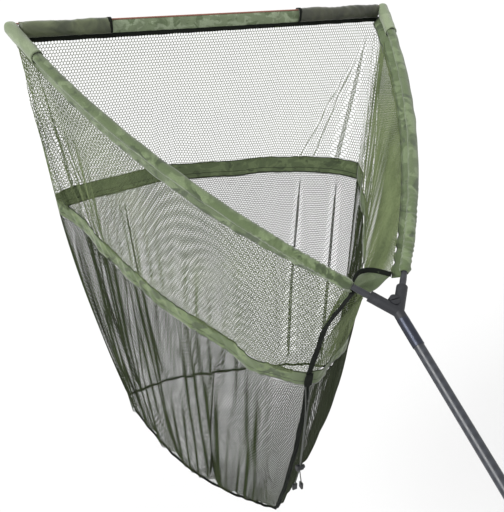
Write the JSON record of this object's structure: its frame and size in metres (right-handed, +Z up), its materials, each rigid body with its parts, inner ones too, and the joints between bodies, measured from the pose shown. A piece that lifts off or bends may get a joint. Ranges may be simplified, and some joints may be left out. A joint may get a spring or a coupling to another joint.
{
  "type": "landing net",
  "caption": "Triangular carp landing net with a deep hanging mesh bag on two bowed arms, a moulded Y block, a screw fitting and a two-section pole.",
  "frame": {"origin": "the middle of the hand grip, on the handle's axis", "axes": "+Z up against gravity; +Y forwards, from the hand towards the front cord; +X along the front cord to the right. The net is stored as it is held: the frame and the handle rise forwards at 27.8 degrees, and the bag hangs plumb"},
  "size_m": [1.0662, 2.4712, 1.323],
  "materials": {
    "carbon_tube": "satin",
    "black_plastic": "moulded matt",
    "black_metal": "anodised, bright",
    "brass": "turned",
    "steel": "drawn wire",
    "arm_rod": "satin",
    "grip_foam": "closed-cell foam",
    "rubber": "moulded",
    "float_foam": "closed-cell foam",
    "camo_fabric": "printed woven polyester",
    "sage_fabric": "woven polyester",
    "olive_fabric": "coated nylon",
    "belt_fabric": "printed woven polyester",
    "black_binding": "woven tape",
    "cord": "braided",
    "side_mesh": "knotless net",
    "base_mesh": "fine knotless net"
  },
  "bodies": {
    "lower_handle": {"lower_tube": "carbon_tube", "lower_collar": "black_plastic", "spigot": "carbon_tube", "grip": "grip_foam", "butt_cap": "rubber"},
    "upper_handle": {"upper_tube": "carbon_tube", "upper_collar": "black_plastic", "ferrule": "black_metal", "thread_insert": "brass"},
    "head": {"spreader_block": "black_plastic", "thread_stud": "brass", "front_cord": "cord", "front_strip": "camo_fabric", "front_binding": "black_binding", "back_panel": "camo_fabric", "back_binding": "black_binding", "upper_seam_tape": "black_binding", "exit_patch": "black_binding", "lower_seam_tape": "black_binding", "base_mesh": "base_mesh", "front_upper_mesh": "side_mesh", "front_belt": "belt_fabric", "front_lower_mesh": "side_mesh", "left_drawcord": "cord", "right_drawcord": "cord", "end_stops": "black_plastic", "left_arm": "arm_rod", "left_tip_cap": "black_plastic", "left_arm_sleeve": "camo_fabric", "left_skirt": "camo_fabric", "left_tip_cover": "sage_fabric", "left_float_sleeve": "olive_fabric", "left_float": "float_foam", "left_upper_mesh": "side_mesh", "left_belt": "belt_fabric", "left_lower_mesh": "side_mesh", "right_arm": "arm_rod", "right_tip_cap": "black_plastic", "right_arm_sleeve": "camo_fabric", "right_skirt": "camo_fabric", "right_tip_cover": "sage_fabric", "right_float_sleeve": "olive_fabric", "right_float": "float_foam", "right_upper_mesh": "side_mesh", "right_belt": "belt_fabric", "right_lower_mesh": "side_mesh"},
    "lock": {"cord_lock": "black_plastic", "lock_spring": "steel"},
    "button": {"lock_button": "black_plastic"}
  },
  "joints": [
    {"name": "sections_pull_apart", "type": "slide", "parent": "lower_handle", "child": "upper_handle", "axis": [0, 0.8846, 0.4664], "range_m": [0, 0.115]},
    {"name": "head_unscrews", "type": "hinge", "parent": "upper_handle", "child": "head", "pos_m": [0, 1.37995, 0.72756], "axis": [0, 0.8846, 0.4664], "range_deg": [0, 3330]},
    {"name": "cord_lock_slides", "type": "slide", "parent": "head", "child": "lock", "axis": [0.0599, 0, 0.9982], "range_m": [-0.004, 0.13]},
    {"name": "lock_button_presses", "type": "slide", "parent": "lock", "child": "button", "axis": [0.9982, 0, -0.0599], "range_m": [-0.003, 0], "stiffness_N_per_m": 800, "springref_m": 0.002, "deforming": ["lock_spring"]}
  ]
}
